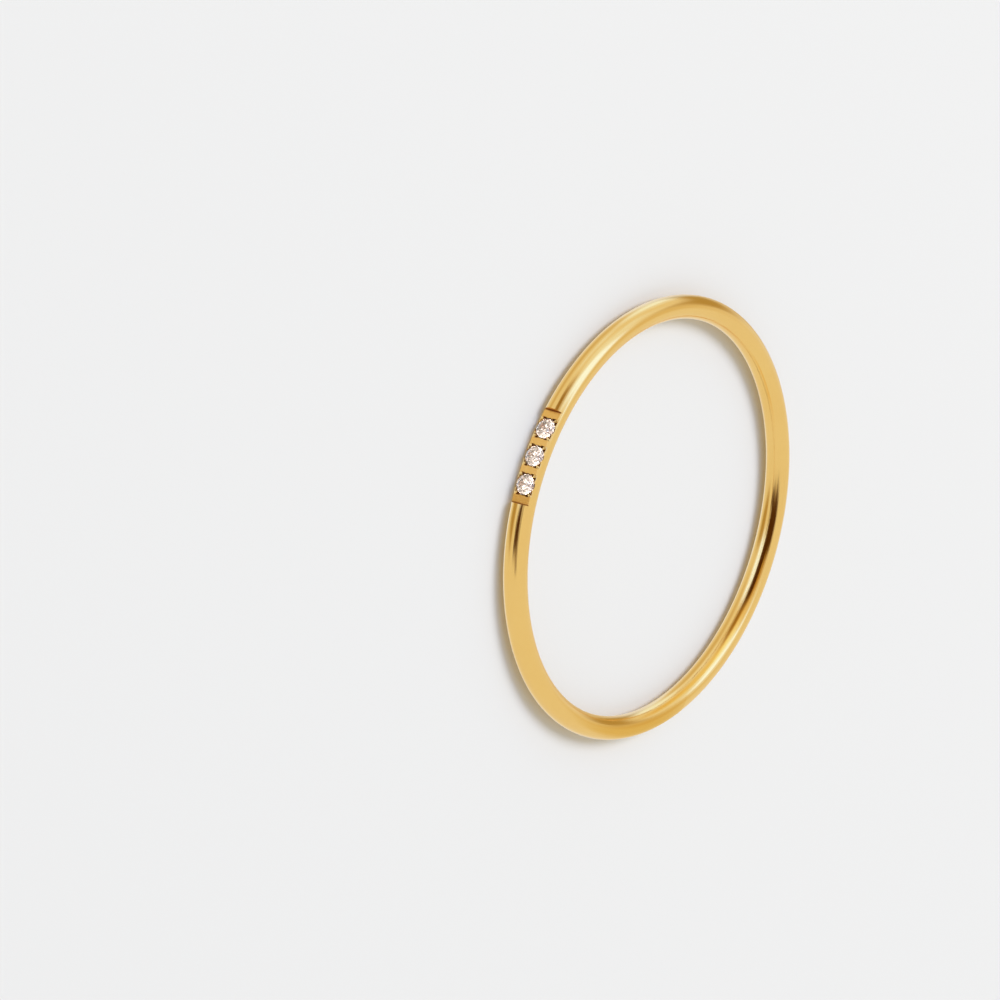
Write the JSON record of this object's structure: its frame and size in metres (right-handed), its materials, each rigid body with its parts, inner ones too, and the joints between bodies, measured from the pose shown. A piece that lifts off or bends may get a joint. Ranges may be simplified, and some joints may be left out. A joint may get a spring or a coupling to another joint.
{
  "type": "stackable ring",
  "caption": "Slim stackable finger ring of round polished gold wire, with small round brilliants set in line in a shallow curved flat on its outer side.",
  "frame": {"origin": "middle of the finger hole, at the plane that the ring lies on", "axes": "+Z along the ring's axis, up as it lies on its side; -Y out of the middle stone, so the setting faces -Y; +X to the right of the setting"},
  "size_m": [0.0188, 0.0187, 0.001],
  "materials": {
    "gold": "polished yellow gold plating",
    "stone": "clear cut and polished stone"
  },
  "bodies": {
    "root": {"band": "gold", "stone_1": "stone", "stone_2": "stone", "stone_3": "stone"}
  },
  "joints": []
}
